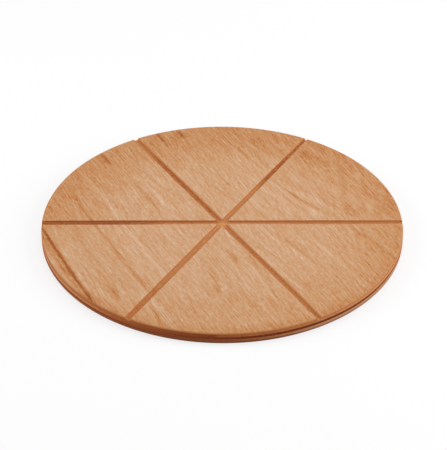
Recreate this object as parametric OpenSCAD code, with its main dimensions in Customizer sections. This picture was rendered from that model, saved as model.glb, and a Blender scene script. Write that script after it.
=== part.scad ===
// Round beech plywood serving board for pizza, scored into equal slices by grooves
// that cross at its centre. The origin is the middle of the underside.

/* [Board] */
// Diameter of the board
board_d = 300; // [200:5:400]
// Thickness of the face veneer, the thinnest because the face is sanded down
face_veneer_t = 1.3; // [1:0.05:2]
// Thickness of each of the other veneers once pressed
veneer_t = 2.075; // [1.5:0.025:2.5]
// Thickness of each cured glue film between two veneers
glue_t = 0.1; // [0.06:0.02:0.2]
// Radius that the serving face's rim is rounded to
face_rim_r = 1.5; // [0.5:0.25:3]
// Radius that the underside's rim is rounded to
base_rim_r = 1.25; // [0.5:0.25:3]

/* [Grooves] */
// Number of grooves, each of them a whole diameter
groove_count = 3; // [2:1:6]
// Diameter of the round-nosed cutter that runs the grooves
cutter_d = 5; // [3:0.25:8]
// How far the grooves go on into the veneer under the face
groove_bite = 0.9; // [0.1:0.05:1.4]

/* [Hidden] */
$fn = 96;
// Layers count from the underside: veneers 1 to 5, with a glue film over each but the last.
veneer_count = 5;
layer_pitch = veneer_t + glue_t;
board_r = board_d / 2;
board_t = (veneer_count - 1) * layer_pitch + face_veneer_t;
slice_count = 2 * groove_count;
slice_angle = 360 / slice_count;
groove_depth = face_veneer_t + glue_t + groove_bite;
// How far every cut runs past the surface that it opens
overrun = 1;

face_colour = "#D0A078";
long_grain_colour = "#BF8B5F";
end_grain_colour = "#8A5434";
glue_colour = "#6B4024";

slice_nodes = [for (i = [1:slice_count]) str("top_slice_", i)];
glue_nodes = [for (i = [1:veneer_count - 1]) str("glue_line_", i)];

function veneer_z(i) = (i - 1) * layer_pitch;
function glue_z(i) = veneer_z(i) + veneer_t;

// The waste outside a quarter circle, for a corner whose rounding is centred on the origin
module corner_waste(r) {
    difference() {
        square(r + overrun);
        circle(r);
    }
}

// Half of the board's section, from its axis to its rim
module board_section() {
    difference() {
        square([board_r, board_t]);
        translate([board_r - face_rim_r, board_t - face_rim_r]) corner_waste(face_rim_r);
        translate([board_r - base_rim_r, base_rim_r]) mirror([0, 1]) corner_waste(base_rim_r);
    }
}

// One layer of the board's section, turned through an angle
module layer(z, t, angle = 360, start = 0) {
    rotate_extrude(angle = angle, start = start)
        intersection() {
            board_section();
            translate([0, z]) square([board_r, t]);
        }
}

// The path of the round-nosed cutter along a diameter: its nose, and its straight sides above
module groove() {
    cutter_r = cutter_d / 2;
    reach = board_r + overrun;
    translate([0, 0, board_t - groove_depth + cutter_r]) {
        rotate([0, 90, 0]) cylinder(r = cutter_r, h = 2 * reach, center = true);
        translate([-reach, -cutter_r, 0]) cube([2 * reach, cutter_d, groove_depth + overrun]);
    }
}

module grooves() {
    for (i = [0:groove_count - 1]) rotate([0, 0, i * slice_angle]) groove();
}

// Slice of the face veneer, the first one starting at the groove along X
module top_slice(i) {
    color(face_colour)
        difference() {
            layer(veneer_z(veneer_count), face_veneer_t, slice_angle, (i - 1) * slice_angle);
            grooves();
        }
}

// Crossband under the face, with the troughs that the grooves leave in it
module upper_cross_ply() {
    color(end_grain_colour)
        difference() {
            layer(veneer_z(4), veneer_t);
            grooves();
        }
}

module core_ply() {
    color(long_grain_colour) layer(veneer_z(3), veneer_t);
}

module lower_cross_ply() {
    color(end_grain_colour) layer(veneer_z(2), veneer_t);
}

module bottom_face_ply() {
    color(face_colour) layer(veneer_z(1), veneer_t);
}

// Glue film over veneer i; the grooves part the one under the face into slices too
module glue_line(i) {
    color(glue_colour)
        difference() {
            layer(glue_z(i), glue_t);
            grooves();
        }
}

for (i = [1:slice_count]) {
    top_slice(i);
}
upper_cross_ply();
core_ply();
lower_cross_ply();
bottom_face_ply();
for (i = [1:veneer_count - 1]) {
    glue_line(i);
}
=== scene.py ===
# Pizza serving board of oiled beech plywood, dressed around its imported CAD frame.
# Lengths are in metres, and +Z is up out of the serving face.
import math

import bpy
from mathutils import Matrix, Vector


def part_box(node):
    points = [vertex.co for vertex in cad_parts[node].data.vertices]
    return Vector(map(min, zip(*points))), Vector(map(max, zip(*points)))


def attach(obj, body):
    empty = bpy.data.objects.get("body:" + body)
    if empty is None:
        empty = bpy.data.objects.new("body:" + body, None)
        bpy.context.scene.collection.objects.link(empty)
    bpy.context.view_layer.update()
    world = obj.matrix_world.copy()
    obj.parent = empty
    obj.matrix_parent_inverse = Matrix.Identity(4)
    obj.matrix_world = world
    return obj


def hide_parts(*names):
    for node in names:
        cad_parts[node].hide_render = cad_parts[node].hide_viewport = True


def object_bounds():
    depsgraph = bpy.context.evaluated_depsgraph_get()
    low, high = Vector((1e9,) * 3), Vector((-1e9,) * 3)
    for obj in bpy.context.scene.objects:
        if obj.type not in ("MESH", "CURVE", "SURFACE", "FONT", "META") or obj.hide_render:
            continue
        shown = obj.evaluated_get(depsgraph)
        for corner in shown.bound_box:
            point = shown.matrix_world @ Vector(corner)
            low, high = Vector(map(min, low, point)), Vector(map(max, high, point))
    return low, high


mm = 0.001
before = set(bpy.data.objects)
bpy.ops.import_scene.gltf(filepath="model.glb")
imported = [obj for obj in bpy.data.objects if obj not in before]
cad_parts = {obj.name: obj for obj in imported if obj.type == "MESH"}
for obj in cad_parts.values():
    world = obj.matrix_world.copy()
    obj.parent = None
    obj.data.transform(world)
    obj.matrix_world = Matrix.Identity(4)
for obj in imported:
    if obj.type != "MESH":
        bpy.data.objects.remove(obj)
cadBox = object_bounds()
boardRadius = cadBox[1].x
boardTop = cadBox[1].z
print("frame loaded, board", round(2 * boardRadius / mm), "mm across")


# Modelling helpers

modelling = {
    "smoothAngle": 35,           # degrees, above which an edge stays sharp
    "sameLevel": 0.01 * mm,      # how near two levels count as one
    "weldReach": 0.005 * mm,     # how near two points are joined
    "cutReach": 0.001 * mm,      # how near a cut a point counts as on it
}


def objectMode():
    if bpy.context.object and bpy.context.object.mode != "OBJECT":
        bpy.ops.object.mode_set(mode="OBJECT")


def deselectAll():
    objectMode()
    bpy.ops.object.select_all(action="DESELECT")


def makeActive(piece):
    deselectAll()
    piece.select_set(True)
    bpy.context.view_layer.objects.active = piece


def placeInMesh(piece):
    makeActive(piece)
    bpy.ops.object.transform_apply(location=True, rotation=True, scale=True)


def copyOf(piece, name):
    makeActive(piece)
    bpy.ops.object.duplicate(linked=False)
    twin = bpy.context.object
    twin.name = name
    return twin


def editAll(piece):
    # leaves edit mode on, with everything selected
    makeActive(piece)
    bpy.ops.object.mode_set(mode="EDIT")
    bpy.ops.mesh.select_all(action="SELECT")


def roundEdges(radius, steps):
    # rounds the edges that are selected
    bpy.ops.mesh.bevel(offset=radius, segments=steps, profile=0.5, affect="EDGES")


def pick(piece, kind, wanted):
    # leaves edit mode on, with only the wanted edges or faces selected
    makeActive(piece)
    bpy.ops.object.mode_set(mode="EDIT")
    bpy.ops.mesh.select_mode(type="EDGE" if kind == "edges" else "FACE")
    bpy.ops.mesh.select_all(action="DESELECT")
    objectMode()
    for part in getattr(piece.data, kind):
        part.select = wanted(part, [piece.data.vertices[i].co for i in part.vertices])
    bpy.ops.object.mode_set(mode="EDIT")


def applyModifier(piece, kind, **settings):
    makeActive(piece)
    modifier = piece.modifiers.new(kind.title(), kind)
    for name, value in settings.items():
        setattr(modifier, name, value)
    bpy.ops.object.modifier_apply(modifier=modifier.name)


def finishPiece(piece, material, slotName, *nodes):
    piece.data.materials.clear()
    piece.data.materials.append(material)
    makeActive(piece)
    bpy.ops.object.shade_smooth_by_angle(angle=math.radians(modelling["smoothAngle"]))
    applyModifier(piece, "WEIGHTED_NORMAL", keep_sharp=True)
    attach(piece, "root")
    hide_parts(*nodes)


# Shader helpers

halving = 0.7                    # the power of e that about halves
noiseMean = 0.5                  # Blender's noise as it comes
noiseGain = 6.5                  # brings its spread to about 1


def tone(red, green, blue):
    # a colour as a picture gives it, 0 to 255, made linear by the sRGB curve
    def linear(value):
        share = value / 255
        return share / 12.92 if share <= 0.04045 else ((share + 0.055) / 1.055) ** 2.4
    return (linear(red), linear(green), linear(blue), 1)


class Wire:
    # a shader socket that Python sums work on
    def __init__(self, shader, socket):
        self.shader = shader
        self.socket = socket

    def maths(self, operation, *values):
        return self.shader.add("ShaderNodeMath", {"operation": operation}, dict(enumerate(values)))

    def __add__(self, other):
        return self.maths("ADD", self, other)

    def __radd__(self, other):
        return self.maths("ADD", other, self)

    def __sub__(self, other):
        return self.maths("SUBTRACT", self, other)

    def __rsub__(self, other):
        return self.maths("SUBTRACT", other, self)

    def __mul__(self, other):
        return self.maths("MULTIPLY", self, other)

    def __rmul__(self, other):
        return self.maths("MULTIPLY", other, self)

    def __truediv__(self, other):
        return self.maths("DIVIDE", self, other)

    def __abs__(self):
        return self.maths("ABSOLUTE", self)

    def __pow__(self, other):
        return self.maths("POWER", self, other)

    def most(self, other):
        return self.maths("MAXIMUM", self, other)

    def rise(self, start, end):
        # 0 before start, 1 after end, smooth between; start may be the larger
        return self.shader.add(
            "ShaderNodeMapRange", {"interpolation_type": "SMOOTHSTEP"},
            {"Value": self, "From Min": start, "From Max": end, "To Min": 0.0, "To Max": 1.0})

    def bell(self, centre, width):
        # 1 at centre and half at the width, falling smoothly to 0 at about twice the width
        off = (self - centre) / width
        return self.maths("EXPONENT", off * off * -halving)


class Shader:
    # the node tree of a material or a world
    def __init__(self, owner):
        self.owner = owner
        owner.use_nodes = True
        self.tree = owner.node_tree
        self.tree.nodes.clear()

    def add(self, kind, settings=None, inputs=None, output=0):
        node = self.tree.nodes.new(kind)
        for name, value in (settings or {}).items():
            if name == "stops":
                self.setStops(node.color_ramp, value)
            else:
                setattr(node, name, value)
        for name, value in (inputs or {}).items():
            if isinstance(value, Wire):
                self.tree.links.new(value.socket, node.inputs[name])
            else:
                node.inputs[name].default_value = value
        return Wire(self, node.outputs[output]) if len(node.outputs) else node

    def setStops(self, ramp, stops):
        while len(ramp.elements) < len(stops):
            ramp.elements.new(0.5)
        for element, (position, colour) in zip(ramp.elements, stops):
            element.position = position
            element.color = colour

    def parts(self, vector):
        node = self.add("ShaderNodeSeparateXYZ", inputs={0: vector}).socket.node
        return [Wire(self, socket) for socket in node.outputs]

    def joined(self, x, y, z):
        return self.add("ShaderNodeCombineXYZ", inputs={0: x, 1: y, 2: z})

    def noise(self, x, y, z, seed, detail=2.0, roughness=0.5):
        # fractal noise with a mean of 0 and a spread of about 1
        value = self.add(
            "ShaderNodeTexNoise", {"noise_dimensions": "3D"},
            {"Vector": self.joined(x + seed, y - seed, z + seed / 3), "Scale": 1.0, "Detail": detail,
             "Roughness": roughness})
        return (value - noiseMean) * noiseGain

    def mix(self, factor, first, second):
        # the node's colour sockets are its inputs 6 and 7 and its output 2
        return self.add(
            "ShaderNodeMix", {"data_type": "RGBA", "clamp_factor": True},
            {0: factor, 6: first, 7: second}, output=2)

    def ramp(self, stops, reading):
        # stops are pairs of a reading and the colour it gets
        low, high = stops[0][0], stops[-1][0]
        spread = [((value - low) / (high - low), colour) for value, colour in stops]
        return self.add("ShaderNodeValToRGB", {"stops": spread}, {"Fac": (reading - low) / (high - low)})

    def surface(self, colour, roughness, bump, bumpDepth, constants):
        normal = self.add("ShaderNodeBump", inputs={"Strength": 1.0, "Distance": bumpDepth, "Height": bump})
        inputs = {"Base Color": colour, "Roughness": roughness, "Normal": normal, **constants}
        self.finish(self.add("ShaderNodeBsdfPrincipled", inputs=inputs))

    def finish(self, shader, kind="ShaderNodeOutputMaterial"):
        self.add(kind, inputs={"Surface": shader})


# Beech veneer

beech = {
    "faceGrain": -60,               # azimuths of the grain, in degrees
    "crossGrain": 30,
    # how the growth rings and the fibres fan out, per millimetre, and how far they turn from the grain
    "ringLie": (0.0012, -0.03),
    "fibreLie": (-0.0003, 0.08),
    "sway": (2.2, 1.5),             # how far the rings and the fibres wander, in millimetres
    "curl": (0.5, 0.25),            # and how far they do over a short way
    "gloss": {"IOR": 1.45, "Specular IOR Level": 0.04},
    "roughness": (0.55, 0.02),      # its middle, and how far the figure changes it
    "fleck": tone(184, 116, 64),
    "fleckShare": 0.5,
    "redShare": 0.65,               # the fine figure varies less in red
    # how high the fine figure and the pores stand, how deep the flecks lie, and what one is in metres
    "relief": {"fine": 0.08, "pores": 0.15, "flecks": -0.6, "depth": 0.03 * mm},
    "torn": (0.07, 0.035),          # how uneven a cut surface reads, by itself and with the figure
    # tones of the face, from its darkest streaks to its palest fibres
    "tones": (
        (-9.0, tone(146, 80, 43)), (-5.5, tone(166, 98, 54)), (-3.0, tone(194, 134, 84)),
        (0.0, tone(207, 159, 118)), (2.5, tone(217, 178, 146)), (4.5, tone(226, 195, 168))),
}

# Patterns in the wood: how long each is along the grain, how wide across it and how deep, in
# millimetres, a seed, its detail and its roughness
patterns = {
    "sway": (120, 45, 30, 3.1, 1.0, 0.5),
    "curl": (22, 16, 9, 8.3, 1.0, 0.5),
    "blotches": (70, 45, 20, 4.4, 2.0, 0.5),
    "bands": (190, 17, 8, 7.7, 2.0, 0.5),
    "streaks": (70, 2.8, 2.4, 1.3, 2.0, 0.6),
    "fibres": (17, 1.2, 0.7, 5.9, 1.5, 0.6),
    "specks": (4.4, 1.15, 0.7, 2.2, 1.0, 0.5),
    "paleLines": (40, 1.6, 0.7, 6.1, 1.0, 0.5),
    "darkLines": (26, 1.5, 0.7, 7.3, 1.0, 0.5),
    "flecks": (2.6, 0.7, 0.5, 9.2, 1.0, 0.5),
    "pores": (6, 0.35, 0.35, 6.6, 2.0, 0.5),
    "torn": (4, 1.3, 0.6, 3.6, 2.0, 0.5),
    "chatter": (7, 2.3, 1, 4.9, 1.0, 0.5),
    "mottle": (2, 2, 2, 1.0, 2.0, 0.5),
}

# How far each pattern shifts the tone, slowly over the face or finely, and where the sparse ones begin
slowShares = {"blotches": 0.14, "bands": 0.04, "streaks": 0.5}
fineShares = {"fibres": 1.3, "specks": 1.1, "paleLines": 2.3, "darkLines": -1.6}
sparse = {"paleLines": (0.9, 2.4), "darkLines": (1.0, 2.5), "flecks": (1.4, 2.4)}

# Tones that the rim shows on each veneer's edge, from side grain to end grain
edgeTones = {
    "face": (
        (0.0, tone(199, 133, 84)), (0.5, tone(203, 126, 73)), (1.1, tone(196, 119, 67)),
        (1.6, tone(172, 106, 60))),
    "upper": (
        (0.0, tone(206, 147, 98)), (0.25, tone(198, 124, 73)), (0.42, tone(183, 101, 56)),
        (0.7, tone(152, 75, 43))),
    "core": (
        (0.0, tone(214, 152, 98)), (0.25, tone(210, 138, 86)), (0.42, tone(185, 106, 58)),
        (0.7, tone(157, 81, 47)), (0.85, tone(145, 71, 40)), (1.05, tone(114, 51, 28))),
    "lower": (
        (0.0, tone(200, 143, 99)), (0.25, tone(190, 119, 76)), (0.42, tone(174, 98, 60)),
        (0.7, tone(161, 86, 52)), (1.05, tone(146, 76, 44))),
    "base": ((0.0, tone(190, 134, 98)), (0.5, tone(168, 102, 68)), (1.05, tone(148, 84, 54))),
}

# Radii between which a veneer's figure gives way to its edge tones
rimBegins = {"face": (147.0, 148.7), "inner": (149.5, 149.8), "base": (148.0, 149.2)}

# Parts of the board that differ, in millimetres: each is whole past the second limit and gone before
# the first, along X, along Y or up
regions = {
    "backRight": {"x": (55, 100), "y": (0, 25)},
    "frontLeft": {"x": (-40, -95), "y": (20, -40)},
    "front": {"y": (20, -60)},
    "rightHalf": {"x": (-9, -3)},
    "faceRimRight": {"x": (100, 140)},
    "upperFarRight": {"x": (80, 115)},
    "upperFarLeft": {"x": (-124, -146)},
    "lowerRight": {"x": (65, 115)},
    "baseLeft": {"x": (-95, -130)},
    "baseFarLeft": {"x": (-124, -142)},
    "baseRight": {"x": (25, 95), "up": (2.2, 1.1)},
}

# Tones that the cutter opened, in the face veneer and in the crossband under it
cutTones = {
    "face": (
        (0.0, tone(214, 154, 102)), (0.5, tone(205, 136, 81)), (0.85, tone(193, 122, 68)),
        (1.2, tone(171, 97, 52)), (1.5, tone(156, 82, 44)), (1.9, tone(136, 70, 38))),
    "cross": (
        (0.0, tone(207, 144, 92)), (0.5, tone(200, 131, 76)), (0.8, tone(186, 113, 63)),
        (1.2, tone(165, 92, 50)), (1.5, tone(153, 81, 44)), (1.9, tone(136, 69, 38))),
}

# How far each groove is stained where it cuts the face veneer and the crossband: at its first end,
# and the changes between stations along it
stains = {
    "face": {
        0: (0.62, (-125, -100, 0.17), (-75, -38, -0.58), (-30, 10, -0.42), (90, 130, -0.18)),
        60: (0.12, (-120, -60, -0.15), (-40, 10, -0.18), (50, 80, 0.48), (105, 125, -0.24)),
        120: (-0.03, (-70, -30, 0.1), (-15, 30, 0.28), (105, 125, -0.1)),
    },
    "cross": {
        0: (
            0.98, (-125, -100, 0.14), (-80, -38, -0.77), (-30, 10, -0.4), (25, 75, 0.42),
            (110, 130, -0.12)),
        60: (0.2, (-120, -60, -0.33), (-40, 10, -0.46), (50, 80, 1.04), (105, 125, -0.4)),
        120: (-0.12, (-70, -30, 0.08), (-15, 30, 0.36), (105, 125, -0.36)),
    },
}

# How wide the stain in the grooves is, in millimetres, and painted light on the first groove's two walls
# on the right, where the far wall is painted paler and the near wall darker
stainWidth = 2.2
paintedWallLight = {"width": 2.6, "stations": (20, 80), "amount": 0.25}

# How much of a mark's length each end fades over, and how much of that again lies past the end
markFade = (0.3, 0.3)

# Marks in the face's figure: three points on the face in millimetres, a width, and how far they
# shift its tone. Minus darkens.
marks = (
    ((-157.4, 11), (-124.9, -62.4), (-101, -114), 1.3, -5.7),
    ((-152, -7), (-128.7, -63.6), (-109.5, -101.5), 1.8, -2.0),
    ((-110, -94), (-105, -104), (-99, -116), 3.6, -2.4),
    ((-131, -52), (-112, -91), (-94, -127), 2.6, -1.0),
    ((-152, -26), (-135, -71), (-107, -111), 4.6, 2.6),
    ((-138, -10), (-113, -76), (-84, -118), 7.0, 0.9),
    ((-133, 59.7), (-104, -6.1), (-84, -46), 1.4, -1.6),
    ((-93, -28), (-70.4, -73.4), (-56, -100), 1.8, -2.4),
    ((-88.5, -91), (-85, -99.5), (-81.5, -108), 1.4, -2.6),
    ((-97, -84), (-89, -92), (-85, -98), 5.0, -1.4),
    ((44.4, 64.3), (64, 36.5), (93, 8), 1.1, -2.2),
    ((42, 60.5), (61, 33), (88, 6), 1.5, 1.1),
    ((-107, 107), (-101, 97), (-95, 86), 1.6, -3.0),
    ((-39, 143), (-35.5, 136), (-32, 129), 1.6, -4.0),
    ((-58, 140), (-53, 130), (-46, 115), 1.5, -2.3),
    ((25, 131), (30.6, 122), (37, 111), 2.6, -1.6),
    ((13, 118), (19.5, 105), (25, 91), 1.2, -2.1),
    ((-8, 79), (3, 62), (14, 48), 1.0, -1.9),
    ((-79, 63), (-64, 39), (-48, 7), 1.1, -1.7),
    ((99, 26), (104, 17), (111, 7), 4.0, -1.8),
    ((42, -14), (61.2, -38), (77.5, -63), 1.4, -1.8),
    ((4, -37), (8, -47), (12, -58), 2.2, -2.3),
    ((-12, -67), (-6, -84), (-1, -102), 1.5, -1.6),
    ((-8, -86), (-5.5, -92), (-3, -99), 2.2, -1.4),
    ((-30, -111), (-26, -118), (-22, -126), 2.4, -1.2),
    ((-43, 105), (-40, 98), (-37, 91), 3.0, -1.3),
    ((64, 111), (77, 97), (90, 82), 6.0, -1.4),
    ((43, 61), (75, 35), (110, 5), 1.7, 1.1),
    ((-61, -101), (-54, -121), (-48, -138), 1.3, -2.6),
    ((-66, -95), (-58, -110), (-50, -125), 3.5, 1.8),
    ((103, -3), (118, -20), (135, -46), 1.3, -1.7),
    ((17, -35), (34, -80), (46, -117), 1.1, -1.2),
    ((126, 48), (136, 27), (141, 10), 3.2, -1.3),
    ((-108, 54), (-96, 28), (-83, 0), 1.1, 1.7),
    ((-123, 78), (-116, 66), (-107, 48), 1.0, 1.6),
    ((-80, -8), (-66, -35), (-48, -75), 1.2, 1.7),
    ((-68, 66), (-57, 45), (-44, 18), 1.1, 1.2),
    ((-19, 93), (12, 52), (38, 10), 1.1, 1.4),
    ((-41, -86), (-31, -107), (-21, -127), 1.2, 1.9),
    ((72, -19), (88, -46), (107, -78), 1.1, 1.3),
    ((29, -40), (52, -78), (75, -109), 1.1, 1.6),
    ((27, 64), (42, 40), (57, 16), 1.1, 1.2),
    ((8, -57), (16, -80), (23, -100), 1.0, 1.2),
)


class Veneer(Shader):
    # wood whose grain lies along an azimuth, in millimetres
    def __init__(self, name, azimuth, ringLie=(0.0, 0.0), fibreLie=(0.0, 0.0)):
        super().__init__(bpy.data.materials.new(name))
        self.angle = math.radians(azimuth)
        place = self.add("ShaderNodeTexCoord", output="Object")
        turned = self.add(
            "ShaderNodeMapping", {"vector_type": "POINT"},
            {"Vector": place, "Rotation": (0, 0, -self.angle), "Scale": (1 / mm, 1 / mm, 1 / mm)})
        self.along, self.across, self.up = self.parts(turned)
        self.x = self.along * math.cos(self.angle) - self.across * math.sin(self.angle)
        self.y = self.along * math.sin(self.angle) + self.across * math.cos(self.angle)
        self.radius = (self.along * self.along + self.across * self.across) ** 0.5
        sway = self.pattern("sway", self.across)
        curl = self.pattern("curl", self.across)
        self.rings, self.lie = [
            self.fanned(*lie) + sway * swayShare + curl * curlShare
            for lie, swayShare, curlShare in zip((ringLie, fibreLie), beech["sway"], beech["curl"])]
        self.normal = self.add("ShaderNodeTexCoord", output="Normal")
        self.endOn = abs(self.facing((math.cos(self.angle), math.sin(self.angle), 0)))
        self.level = self.facing((0, 0, 1))

    def fanned(self, spread, turn):
        return self.across * (1 - spread * self.along) + turn * self.along

    def facing(self, direction):
        return self.add(
            "ShaderNodeVectorMath", {"operation": "DOT_PRODUCT"},
            {0: self.normal, 1: direction}, output="Value")

    def pattern(self, name, across):
        length, width, depth, seed, detail, roughness = patterns[name]
        value = self.noise(self.along / length, across / width, self.up / depth, seed, detail, roughness)
        return value.rise(*sparse[name]) if name in sparse else value

    def within(self, name):
        share = 1.0
        for axis, limits in regions[name].items():
            share = getattr(self, axis).rise(*limits) * share
        return share

    def figure(self):
        # the reading that picks a tone, in its slow and its fine part
        slow = fine = 0.0
        for name, share in slowShares.items():
            slow = self.pattern(name, self.rings) * share + slow
        for name, share in fineShares.items():
            fine = self.pattern(name, self.lie) * share + fine
        return slow, fine

    def mark(self, start, middle, end, width, shift):
        # a streak through three points, as a curve on the grain's own axes
        turn = Matrix.Rotation(-self.angle, 2)
        (u1, v1), (u2, v2), (u3, v3) = [turn @ Vector(point) for point in (start, middle, end)]
        slope = (v2 - v1) / (u2 - u1)
        bow = ((v3 - v2) / (u3 - u2) - slope) / (u3 - u1)
        off = self.across - (v1 + (self.along - u1) * (slope + (self.along - u2) * bow))
        inside = markFade[0] * (u3 - u1)
        outside = markFade[1] * inside
        ends = self.along.rise(u1 - outside, u1 + inside) * self.along.rise(u3 + outside, u3 - inside)
        return off.bell(0, width) * ends * shift

    def stainAndWallLight(self, layer):
        # how much darker the oil left the grooves here, plus painted light that makes the first groove's
        # far wall paler than its near wall
        total = 0.0
        for azimuth, (first, *changes) in stains[layer].items():
            c, s = math.cos(math.radians(azimuth)), math.sin(math.radians(azimuth))
            station, off = self.x * c + self.y * s, self.y * c - self.x * s
            depth = first
            for begin, end, change in changes:
                depth = depth + station.rise(begin, end) * change
            total = off.bell(0, stainWidth) * depth + total
        # painted light: the wall facing +Y is painted darker and the one facing -Y paler
        side = self.facing((0, 1, 0)) * self.y.bell(0, paintedWallLight["width"])
        return total + side * self.x.rise(*paintedWallLight["stations"]) * paintedWallLight["amount"]

    def finishWood(self, slow, fine, edge, edgeMask, cut, cutMask):
        # edge and cut are colours: edgeMask says where the rim shows, cutMask where the cutter has been
        flecks = self.pattern("flecks", self.lie)
        pores = self.pattern("pores", self.across)
        red = self.parts(self.ramp(beech["tones"], slow + fine * beech["redShare"]))[0]
        green, blue = self.parts(self.ramp(beech["tones"], slow + fine))[1:]
        colour = self.mix(flecks * beech["fleckShare"], self.joined(red, green, blue), beech["fleck"])
        colour = self.mix(cutMask, colour, cut)
        colour = self.mix(edgeMask, colour, edge)
        relief = beech["relief"]
        height = fine * relief["fine"] + pores * relief["pores"] + flecks * relief["flecks"]
        middle, change = beech["roughness"]
        self.surface(colour, middle + fine * change, height, relief["depth"], beech["gloss"])

    def torn(self, fine):
        own, ofFigure = beech["torn"]
        return self.pattern("torn", self.across) * own + fine * ofFigure


# What differs over the face: painted shade darkens it towards its rim, where the light falls off,
# and it is rippled at its back right and paler at its front left
face = {
    "level": 0.44,              # how far the whole face's tone is shifted
    # radii that the dark begins and is whole at, its amount, and how that changes along Y and along X
    "paintedRimShade": ((70, 150, 1.95, 0.0064, 0.0), (138, 148, 0.45, -0.0065, 0.0013)),
    "ripple": {"size": (9, 38), "seed": 2.7, "amount": 0.7},
    "paleCorner": 0.4,
    "rimRight": tone(183, 115, 65),
    "rimRightShare": 0.9,
    "tilt": (0.95, 0.45),       # how level the surface is where the cutter's tones begin and are whole
}


def faceVeneerMaterial():
    wood = Veneer("faceVeneer", beech["faceGrain"], beech["ringLie"], beech["fibreLie"])
    slow, fine = wood.figure()
    for mark in marks:
        slow = slow + wood.mark(*mark)
    # painted shade: the face darkens towards its rim, where the light falls off
    for begin, end, amount, slopeY, slopeX in face["paintedRimShade"]:
        slow = slow - wood.radius.rise(begin, end) * (amount + wood.y * slopeY + wood.x * slopeX)
    across, along = face["ripple"]["size"]
    ripple = wood.noise(wood.x / across, wood.y / along, 0.0, face["ripple"]["seed"], detail=1.0)
    slow = slow + ripple * wood.within("backRight") * face["ripple"]["amount"]
    slow = slow + wood.within("frontLeft") * face["paleCorner"] + face["level"]
    tilted = wood.level.rise(*face["tilt"])
    outer = wood.radius.rise(*rimBegins["face"])
    torn = wood.torn(fine)
    edge = wood.ramp(edgeTones["face"], wood.endOn + torn)
    edge = wood.mix(wood.within("faceRimRight") * face["rimRightShare"], edge, face["rimRight"])
    cut = wood.ramp(cutTones["face"], wood.endOn + torn + wood.stainAndWallLight("face"))
    wood.finishWood(slow, fine, edge, tilted * outer, cut, tilted * (1 - outer))
    return wood.owner


# Where the cutter opened the crossband: how far towards end grain it reads at the least, and the
# shares of what adds to that
crossCut = {"least": 0.15, "endOn": 0.9, "torn": 1.5, "chatter": 0.12}


def innerVeneerMaterial(name, azimuth, edgeName, edgeReading):
    # edgeReading works out, from the wood, how far its edge is towards end grain
    wood = Veneer(name, azimuth)
    slow, fine = wood.figure()
    outer = wood.radius.rise(*rimBegins["inner"])
    torn = wood.torn(fine)
    edge = wood.ramp(edgeTones[edgeName], edgeReading(wood) + torn)
    reading = wood.endOn * crossCut["endOn"] + torn * crossCut["torn"]
    reading = reading + wood.pattern("chatter", wood.across) * crossCut["chatter"]
    cut = wood.ramp(cutTones["cross"], reading + wood.stainAndWallLight("cross") + crossCut["least"])
    wood.finishWood(slow, fine, edge, outer, cut, 1 - outer)
    return wood.owner


# How dark the crossbands' edges are. The lower one is painted paler on its right, painted light where
# the lamp on the right falls. The upper one is painted darker on its front, painted shade where the front
# faces away from the light, most of all left of the middle: each half of that has an amount at the middle,
# its change along X, and a region with a change of its own.
crossEdges = {
    "lowerRight": -0.55,
    "upperBack": 0.3,
    "upperHalves": ((0.37, -0.0026, "upperFarRight", -0.1), (0.66, 0.0031, "upperFarLeft", 0.17)),
}


def endGrain(wood):
    return wood.endOn


def paleRight(wood):
    # painted light: the edge is paler on the right, where the lamp on the right falls
    return wood.endOn + wood.within("lowerRight") * crossEdges["lowerRight"]


def shadedFront(wood):
    # painted shade: the edge is darker on the front, which faces away from the light, most of all left of
    # the middle
    right, left = [
        amount + wood.x * slope + wood.within(region) * change
        for amount, slope, region, change in crossEdges["upperHalves"]]
    rightSide = wood.within("rightHalf")
    front = right * rightSide + left * (1 - rightSide)
    back = crossEdges["upperBack"]
    return back + (front - back) * wood.within("front")


# The underside's edge is painted pale grey where it turns down, painted light bounced up from the pale
# floor, less so on the left, and up to its middle at the right
paintedFloorLight = {
    "tone": tone(182, 157, 146),
    "turnedDown": (-0.05, -0.7),
    "share": 0.85,
    "lessAt": {"baseLeft": 0.5, "baseFarLeft": 0.3},
    "rightShare": 0.9,
}


def baseVeneerMaterial():
    wood = Veneer("baseVeneer", beech["faceGrain"])
    slow, fine = wood.figure()
    outer = wood.radius.rise(*rimBegins["base"])
    edge = wood.ramp(edgeTones["base"], wood.endOn + wood.torn(fine))
    share = paintedFloorLight["share"]
    for region, less in paintedFloorLight["lessAt"].items():
        share = share - wood.within(region) * less
    # painted light from the floor, where the edge turns down
    paintedLightShare = wood.level.rise(*paintedFloorLight["turnedDown"]) * share
    paintedLightShare = paintedLightShare.most(wood.within("baseRight") * paintedFloorLight["rightShare"])
    edge = wood.mix(paintedLightShare, edge, paintedFloorLight["tone"])
    wood.finishWood(slow, fine, edge, outer, edge, 0.0)
    return wood.owner


glue = {
    "tones": (tone(142, 78, 46), tone(164, 96, 56)),
    "mottle": (0.5, 0.3),       # the second tone's share, and how far it varies
    "roughness": 0.5,
    "relief": 0.01 * mm,
}


def glueMaterial():
    film = Veneer("resinGlue", beech["faceGrain"])
    mottle = film.pattern("mottle", film.across)
    share, change = glue["mottle"]
    colour = film.mix(mottle * change + share, *glue["tones"])
    film.surface(colour, glue["roughness"], mottle, glue["relief"], beech["gloss"])
    return film.owner


faceVeneer = faceVeneerMaterial()
upperCrossVeneer = innerVeneerMaterial("upperCrossVeneer", beech["crossGrain"], "upper", shadedFront)
coreVeneer = innerVeneerMaterial("coreVeneer", beech["faceGrain"], "core", endGrain)
lowerCrossVeneer = innerVeneerMaterial("lowerCrossVeneer", beech["crossGrain"], "lower", paleRight)
baseVeneer = baseVeneerMaterial()
resinGlue = glueMaterial()
print("materials made")


# Board

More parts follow.
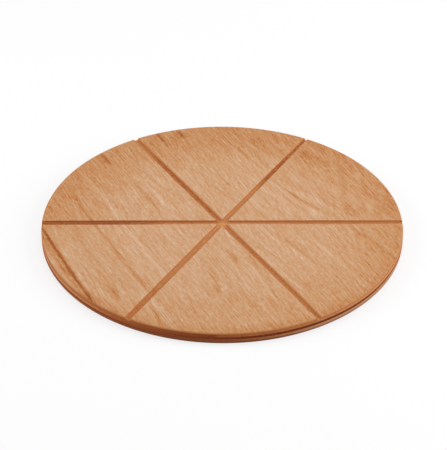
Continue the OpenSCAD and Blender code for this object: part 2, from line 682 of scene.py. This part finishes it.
rim = {
    "sides": 360,
    "turn": 0.65,             # degrees, which keeps the disc's corners clear of the grooves' edges
    "faceRound": 1.5 * mm,
    "baseRound": 1.25 * mm,
    "steps": 8,
    "support": 0.4 * mm,      # loop inside each flat face, which keeps its shading flat
    "plyArris": 0.06 * mm,
    "arrisSteps": 2,
    "glueRecess": 0.04 * mm,
    "thickestFilm": 1 * mm,   # a layer that is thicker is a veneer
}

# Each groove's width, and how far it strays aside, at the stations along its diameter: it is uneven
# because the cutter was led by hand
groove = {
    "depth": 2.3 * mm,
    "sides": 48,
    "arris": 0.15 * mm,
    "arrisSteps": 3,
    "sharpAngle": 40,         # degrees, above which an edge that the cutter left is eased
    "stations": (-160, -141, -122, -91, -58, -26, 26, 58, 91, 122, 141, 160),
    "widths": {
        0: (5.7, 5.75, 5.75, 5.9, 5.8, 5.3, 5.2, 5.4, 5.5, 5.3, 5.3, 5.3),
        60: (5.2, 5.25, 5.55, 5.8, 5.8, 5.6, 4.8, 4.65, 4.25, 3.5, 3.2, 3.1),
        120: (4.5, 4.6, 5.15, 5.5, 5.2, 5.4, 5.4, 5.5, 5.5, 5.0, 4.95, 4.9),
    },
    "asides": {
        0: (-0.05, -0.05, -0.05, 0, 0.05, 0.15, 0.05, 0, -0.1, -0.15, -0.2, -0.2),
        60: (-0.25, -0.25, -0.25, -0.2, -0.25, -0.25, -0.35, -0.35, -0.4, -0.4, -0.4, -0.4),
        120: (0.2, 0.2, 0.1, 0.05, 0.1, 0.2, 0.15, 0.2, 0.3, 0.15, 0, 0),
    },
}


def level(node):
    low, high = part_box(node)
    return low.z, high.z


def flatAt(height):
    # faces or edges that lie at a height
    reach = modelling["sameLevel"]
    return lambda part, corners: all(abs(corner.z - height) < reach for corner in corners)


def makeBlank():
    # the whole board turned from one disc, its rims rounded, to be sliced into plies
    deselectAll()
    bpy.ops.mesh.primitive_circle_add(
        vertices=rim["sides"], radius=boardRadius, fill_type="NGON",
        rotation=(0, 0, math.radians(rim["turn"])))
    blank = bpy.context.object
    placeInMesh(blank)
    editAll(blank)
    bpy.ops.mesh.extrude_region_move(TRANSFORM_OT_translate={"value": (0, 0, boardTop)})
    bpy.ops.mesh.select_all(action="SELECT")
    bpy.ops.mesh.normals_make_consistent(inside=False)
    for height, radius in ((boardTop, rim["faceRound"]), (0, rim["baseRound"])):
        pick(blank, "edges", flatAt(height))
        roundEdges(radius, rim["steps"])
        pick(blank, "polygons", flatAt(height))
        bpy.ops.mesh.inset(thickness=rim["support"])
    objectMode()
    return blank


def slicePly(blank, name, node):
    # one layer of the blank, between its node's lowest and highest levels
    low, high = level(node)
    ply = copyOf(blank, name)
    cuts = [(high, False, True)] if high < boardTop - modelling["sameLevel"] else []
    cuts += [(low, True, False)] if low > modelling["sameLevel"] else []
    for height, clearInner, clearOuter in cuts:
        editAll(ply)
        bpy.ops.mesh.bisect(
            plane_co=(0, 0, height), plane_no=(0, 0, 1), use_fill=True,
            clear_inner=clearInner, clear_outer=clearOuter, threshold=modelling["cutReach"])
        pick(ply, "edges", flatAt(height))
        if high - low > rim["thickestFilm"]:
            roundEdges(rim["plyArris"], rim["arrisSteps"])
        else:
            bpy.ops.mesh.select_all(action="SELECT")
            shrink = 1 - rim["glueRecess"] / boardRadius
            bpy.ops.transform.resize(value=(shrink, shrink, 1))
        objectMode()
    return ply


def makeCutter(azimuth, widths, asides):
    # the round-nosed cutter's path, drawn out station by station
    axis = {"orient_type": "GLOBAL"}
    stations = [station * mm for station in groove["stations"]]
    deselectAll()
    bpy.ops.mesh.primitive_circle_add(
        vertices=groove["sides"], radius=groove["depth"], fill_type="NGON",
        location=(stations[0], asides[0] * mm, 0), rotation=(0, math.pi / 2, 0))
    cutter = bpy.context.object
    placeInMesh(cutter)
    editAll(cutter)
    bpy.ops.transform.resize(value=(1, widths[0] * mm / (2 * groove["depth"]), 1), **axis)
    for i in range(1, len(stations)):
        step = (stations[i] - stations[i - 1], (asides[i] - asides[i - 1]) * mm, 0)
        bpy.ops.mesh.extrude_region_move(TRANSFORM_OT_translate={"value": step, **axis})
        bpy.ops.transform.resize(value=(1, widths[i] / widths[i - 1], 1), **axis)
    bpy.ops.mesh.select_all(action="SELECT")
    bpy.ops.mesh.normals_make_consistent(inside=False)
    objectMode()
    cutter.location = (0, 0, boardTop)
    cutter.rotation_euler = (0, 0, math.radians(azimuth))
    placeInMesh(cutter)
    return cutter


def weld(piece):
    # joins the points that an operation left in one place
    editAll(piece)
    bpy.ops.mesh.remove_doubles(threshold=modelling["weldReach"])
    objectMode()


def cutGrooves(piece, cutters):
    for cutter in cutters:
        applyModifier(piece, "BOOLEAN", operation="DIFFERENCE", solver="EXACT", object=cutter)
    weld(piece)


def azimuthOf(piece):
    centre = sum((v.co for v in piece.data.vertices), Vector()) / len(piece.data.vertices)
    return math.degrees(math.atan2(centre.y, centre.x)) % 360


def easeArrises(piece):
    # rounds the edges that the cutter left along the top
    makeActive(piece)
    bpy.ops.object.mode_set(mode="EDIT")
    bpy.ops.mesh.select_mode(type="EDGE")
    bpy.ops.mesh.select_all(action="DESELECT")
    bpy.ops.mesh.edges_select_sharp(sharpness=math.radians(groove["sharpAngle"]))
    objectMode()
    for edge in piece.data.edges:
        ends = [piece.data.vertices[i].co for i in edge.vertices]
        if any(end.z < boardTop - modelling["sameLevel"] for end in ends):
            edge.select = False
    bpy.ops.object.mode_set(mode="EDIT")
    roundEdges(groove["arris"], groove["arrisSteps"])
    weld(piece)


blank = makeBlank()
cutters = [
    makeCutter(azimuth, widths, groove["asides"][azimuth])
    for azimuth, widths in groove["widths"].items()]

veneer = slicePly(blank, "faceSlices", "top_slice_1")
cutGrooves(veneer, cutters)
editAll(veneer)
bpy.ops.mesh.separate(type="LOOSE")
objectMode()
slices = sorted(bpy.context.selected_objects, key=azimuthOf)
for number, piece in enumerate(slices, 1):
    piece.name = f"faceSlice{number}"
    easeArrises(piece)
    finishPiece(piece, faceVeneer, "face_veneer", f"top_slice_{number}")
print("face veneer cut into", len(slices), "slices")

crossband = slicePly(blank, "upperCrossband", "upper_cross_ply")
cutGrooves(crossband, cutters)
finishPiece(crossband, upperCrossVeneer, "cross_veneer", "upper_cross_ply")
plies = (
    ("coreVeneer", "core_ply", coreVeneer, "core_veneer"),
    ("lowerCrossband", "lower_cross_ply", lowerCrossVeneer, "cross_veneer"),
    ("baseVeneer", "bottom_face_ply", baseVeneer, "face_veneer"),
)
for name, node, material, slotName in plies:
    finishPiece(slicePly(blank, name, node), material, slotName, node)

# Films counted from the underside: the grooves part the last one too
filmCount = 4
for number in range(1, filmCount + 1):
    film = slicePly(blank, f"glueFilm{number}", f"glue_line_{number}")
    if number == filmCount:
        cutGrooves(film, cutters)
    finishPiece(film, resinGlue, "glue", f"glue_line_{number}")
for tool in (blank, *cutters):
    bpy.data.objects.remove(tool)
print("plies made")


# Floor, light and camera

studio = {
    "floorSize": 12.0,
    "floorTone": 0.7,           # what the floor gives back to the board
    "whiteShare": 0.72,         # how far the floor shows plain white in place of its own lit tone
    "skyStrength": 0.318,
}

# Large soft lamps: place in metres, width, power in watts
lamps = {
    "rightLamp": ((1.3, -0.1, 0.65), 1.0, 12.7),
    "leftLamp": ((-1.3, 0.0, 0.65), 1.0, 9.0),
    "overheadLamp": ((0.1, 0.5, 1.6), 1.2, 8.5),
}

white = (1, 1, 1, 1)


class Stage(Shader):
    # plain white to the camera and in reflections, and softly lit for everything else
    def seen(self):
        rays = self.add("ShaderNodeLightPath", output="Is Camera Ray")
        for kind in ("Is Glossy Ray", "Is Transmission Ray"):
            rays = rays.most(self.add("ShaderNodeLightPath", output=kind))
        return rays


deselectAll()
bpy.ops.mesh.primitive_plane_add(size=studio["floorSize"])
floor = bpy.context.object
floor.name = "floor"
paleFloor = Stage(bpy.data.materials.new("paleFloor"))
seen = paleFloor.seen()
pale = (studio["floorTone"],) * 3 + (1,)
lit = paleFloor.add("ShaderNodeBsdfDiffuse", inputs={"Color": paleFloor.mix(seen, pale, white)})
plain = paleFloor.add("ShaderNodeEmission", inputs={"Color": white, "Strength": 1.0})
share = seen * studio["whiteShare"]
paleFloor.finish(paleFloor.add("ShaderNodeMixShader", inputs={0: share, 1: lit, 2: plain}))
floor.data.materials.append(paleFloor.owner)

sky = Stage(bpy.data.worlds.new("studio"))
ambient = sky.add("ShaderNodeBackground", inputs={"Color": white, "Strength": studio["skyStrength"]})
backdrop = sky.add("ShaderNodeBackground", inputs={"Color": white, "Strength": 1.0})
mixed = sky.add("ShaderNodeMixShader", inputs={0: sky.seen(), 1: ambient, 2: backdrop})
sky.finish(mixed, "ShaderNodeOutputWorld")
bpy.context.scene.world = sky.owner

for name, (position, width, power) in lamps.items():
    deselectAll()
    bpy.ops.object.light_add(type="AREA", location=position)
    lamp = bpy.context.object
    lamp.name = name
    lamp.data.shape = "DISK"
    lamp.data.size = width
    lamp.data.energy = power
    lamp.rotation_euler = (-Vector(position)).to_track_quat("-Z", "Y").to_euler()

# The camera as it stood for the photograph, from a fit to the board's outline and grooves
view = {
    "elevation": 34.98,
    "azimuth": -0.72,
    "roll": 0.32,
    "distance": 1705.5 * mm,
    "aside": (1.03 * mm, 6.0 * mm),
    "focalPixels": 2045.4,
    "imageSize": (447, 450),
    "sensorWidth": 36,          # in millimetres, as Blender has it
    "clip": (0.1, 30),
}


def makeCamera():
    azimuth, elevation, roll = (math.radians(view[key]) for key in ("azimuth", "elevation", "roll"))
    flat = math.cos(elevation)
    back = Vector((math.sin(azimuth) * flat, -math.cos(azimuth) * flat, math.sin(elevation)))
    right = Vector((math.cos(azimuth), math.sin(azimuth), 0))
    up = back.cross(right)
    place = back * view["distance"] + right * view["aside"][0] + up * view["aside"][1]
    turnedRight = right * math.cos(roll) + up * math.sin(roll)
    turnedUp = up * math.cos(roll) - right * math.sin(roll)
    deselectAll()
    bpy.ops.object.camera_add()
    camera = bpy.context.object
    turn = Matrix((turnedRight, turnedUp, back)).transposed().to_4x4()
    camera.matrix_world = Matrix.Translation(place) @ turn
    camera.data.sensor_width = view["sensorWidth"]
    camera.data.lens = view["focalPixels"] * view["sensorWidth"] / max(view["imageSize"])
    camera.data.clip_start, camera.data.clip_end = view["clip"]
    bpy.context.scene.camera = camera


makeCamera()
bpy.context.scene.view_settings.view_transform = "Standard"
print("studio and camera set")
